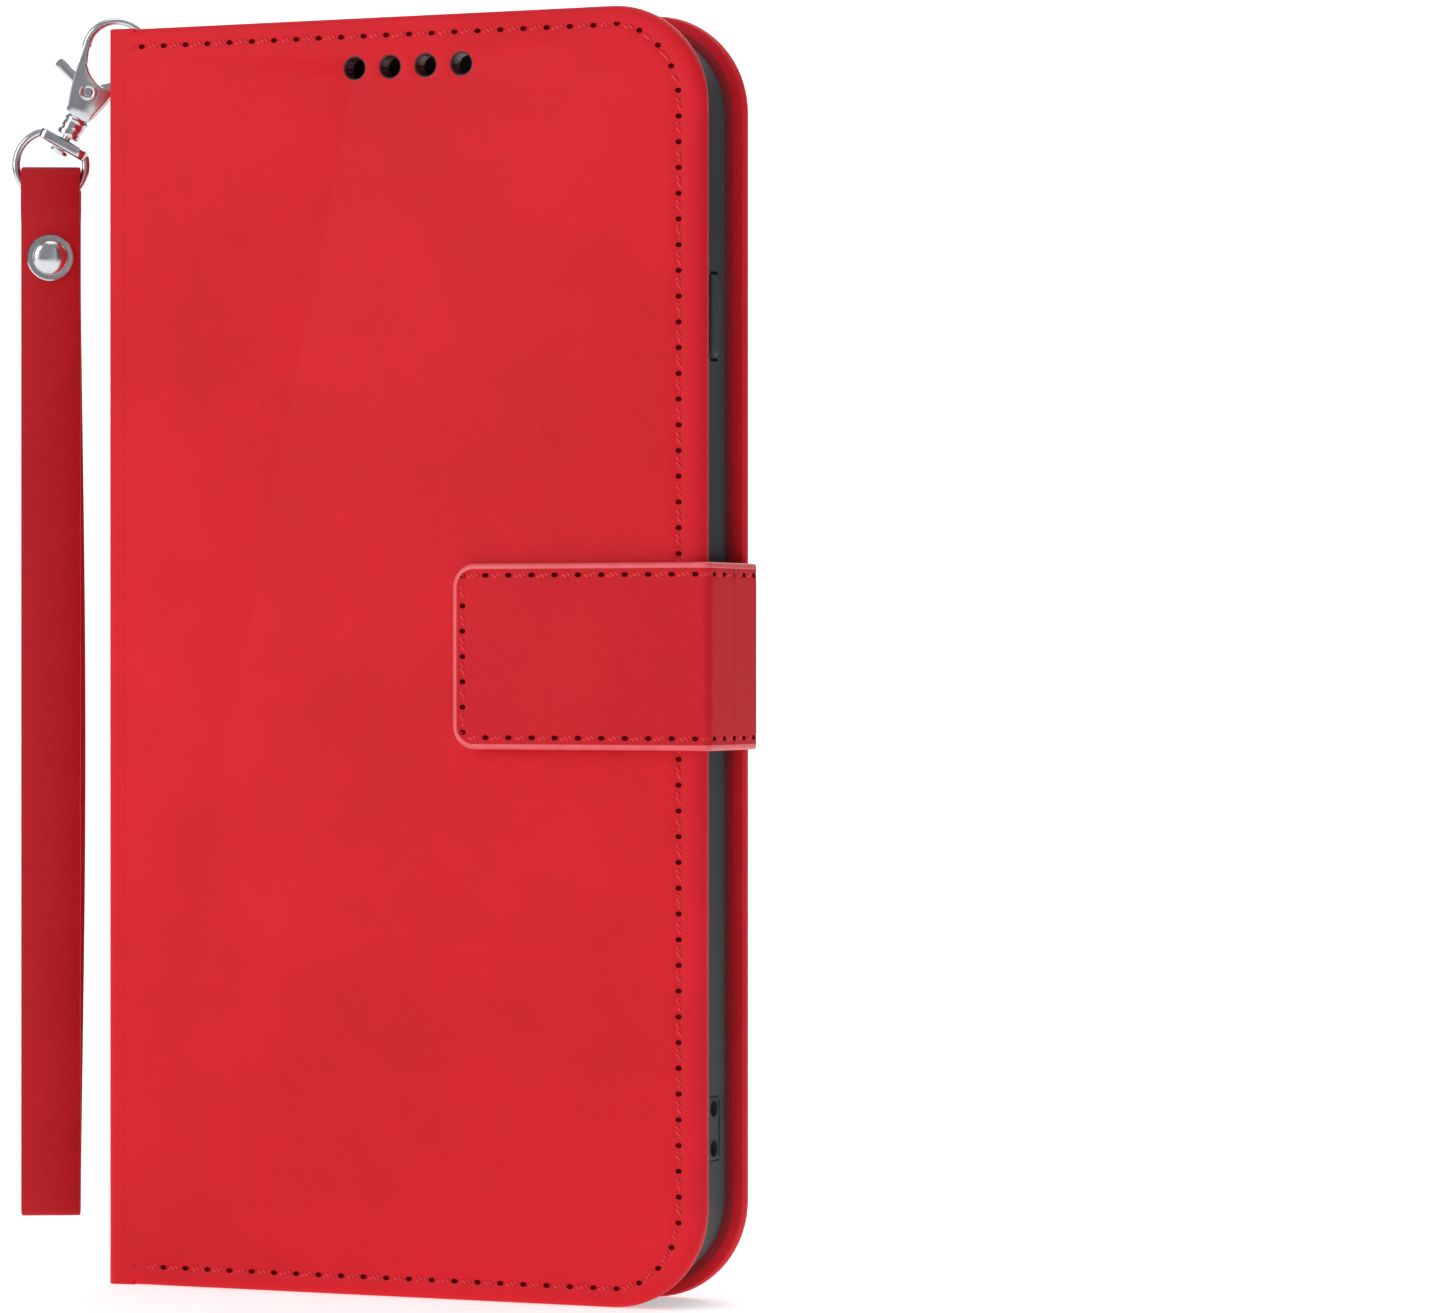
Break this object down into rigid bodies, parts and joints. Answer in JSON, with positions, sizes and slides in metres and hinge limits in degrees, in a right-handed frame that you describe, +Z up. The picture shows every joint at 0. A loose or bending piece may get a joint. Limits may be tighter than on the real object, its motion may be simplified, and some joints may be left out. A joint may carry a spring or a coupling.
{
  "type": "phone wallet case",
  "caption": "Closed folio phone case with a soft inner shell, a magnetic closing strap, a camera opening in the back and a wrist strap on a trigger clasp at the spine.",
  "frame": {"origin": "middle of the back cover's lower edge, on the cover's mid-plane", "axes": "+Z up along the spine, +X towards the opening side, +Y out of the back cover"},
  "size_m": [0.1005, 0.0204, 0.1558],
  "materials": {
    "cover_leather": "soft matt red with a fine grain",
    "strap_leather": "darker red, satin",
    "lining": "matt microfibre",
    "board": "grey board",
    "soft_shell": "matt dark green-grey",
    "adhesive": "matt",
    "magnet": "plated",
    "catch_steel": "plated",
    "clasp_metal": "polished",
    "spring_steel": "drawn wire"
  },
  "bodies": {
    "root": {"back_skin": "cover_leather", "back_board_spine_half": "board", "back_board_camera_half": "board", "back_lining": "lining", "adhesive_pad": "adhesive", "phone_shell": "soft_shell", "lanyard_anchor": "soft_shell", "strap_tail": "cover_leather"},
    "spine": {"spine_skin": "cover_leather", "spine_board": "board", "spine_lining": "lining", "clasp_loop": "cover_leather"},
    "front_cover": {"front_skin": "cover_leather", "front_board": "board", "front_lining": "lining", "catch_plate": "catch_steel", "cash_pocket": "lining", "card_pocket_upper": "lining", "card_pocket_lower": "lining"},
    "strap_band": {"strap_band": "cover_leather"},
    "strap_tab": {"strap_tab_outer": "cover_leather", "strap_tab_inner": "cover_leather", "strap_magnet": "magnet"},
    "power_button": {"power_button": "soft_shell"},
    "volume_up_button": {"volume_up_button": "soft_shell"},
    "volume_down_button": {"volume_down_button": "soft_shell"},
    "clasp_hook": {"clasp_body": "clasp_metal", "lever_rivet": "clasp_metal", "lever_spring": "spring_steel", "swivel_stud": "clasp_metal"},
    "clasp_lever": {"clasp_lever": "clasp_metal"},
    "swivel_ring": {"swivel_ring": "clasp_metal"},
    "wrist_strap": {"wrist_strap": "strap_leather", "wrist_rivet": "clasp_metal"}
  },
  "joints": [
    {"name": "spine_fold", "type": "hinge", "parent": "root", "child": "spine", "pos_m": [-0.0384, 0, 0], "axis": [0, 0, -1], "range_deg": [0, 105]},
    {"name": "cover_fold", "type": "hinge", "parent": "spine", "child": "front_cover", "pos_m": [-0.0384, -0.0122, 0], "axis": [0, 0, -1], "range_deg": [0, 105]},
    {"name": "strap_band_fold", "type": "hinge", "parent": "root", "child": "strap_band", "pos_m": [0.0406, -0.0008, 0.0765], "axis": [0, 0, 1], "range_deg": [0, 170]},
    {"name": "strap_tab_fold", "type": "hinge", "parent": "strap_band", "child": "strap_tab", "pos_m": [0.0406, -0.0144, 0.0765], "axis": [0, 0, 1], "range_deg": [0, 120]},
    {"name": "power_press", "type": "slide", "parent": "root", "child": "power_button", "axis": [-1, 0, 0], "range_m": [0, 0.0004], "stiffness_N_per_m": 1500},
    {"name": "volume_up_press", "type": "slide", "parent": "root", "child": "volume_up_button", "axis": [1, 0, 0], "range_m": [0, 0.0004], "stiffness_N_per_m": 1500},
    {"name": "volume_down_press", "type": "slide", "parent": "root", "child": "volume_down_button", "axis": [1, 0, 0], "range_m": [0, 0.0004], "stiffness_N_per_m": 1500},
    {"name": "hook_swing", "type": "hinge", "parent": "spine", "child": "clasp_hook", "pos_m": [-0.04098, -0.0003, 0.1513], "axis": [-0.4305, 0.9026, 0], "range_deg": [0, 42]},
    {"name": "lever_press", "type": "hinge", "parent": "clasp_hook", "child": "clasp_lever", "pos_m": [-0.04755, -0.00343, 0.14641], "axis": [0.4305, -0.9026, 0], "range_deg": [0, 25], "stiffness_Nm_per_rad": 0.005},
    {"name": "ring_swivel", "type": "hinge", "parent": "clasp_hook", "child": "swivel_ring", "pos_m": [-0.05176, -0.00544, 0.13744], "axis": [0.4513, 0.2153, 0.866], "continuous": true},
    {"name": "strap_swing", "type": "hinge", "parent": "swivel_ring", "child": "wrist_strap", "pos_m": [-0.05176, -0.00544, 0.13744], "axis": [-0.4305, 0.9026, 0], "range_deg": [-3, 60]}
  ],
  "couplings": [
    {"joint": "cover_fold", "follows": "spine_fold", "ratio": 1}
  ]
}
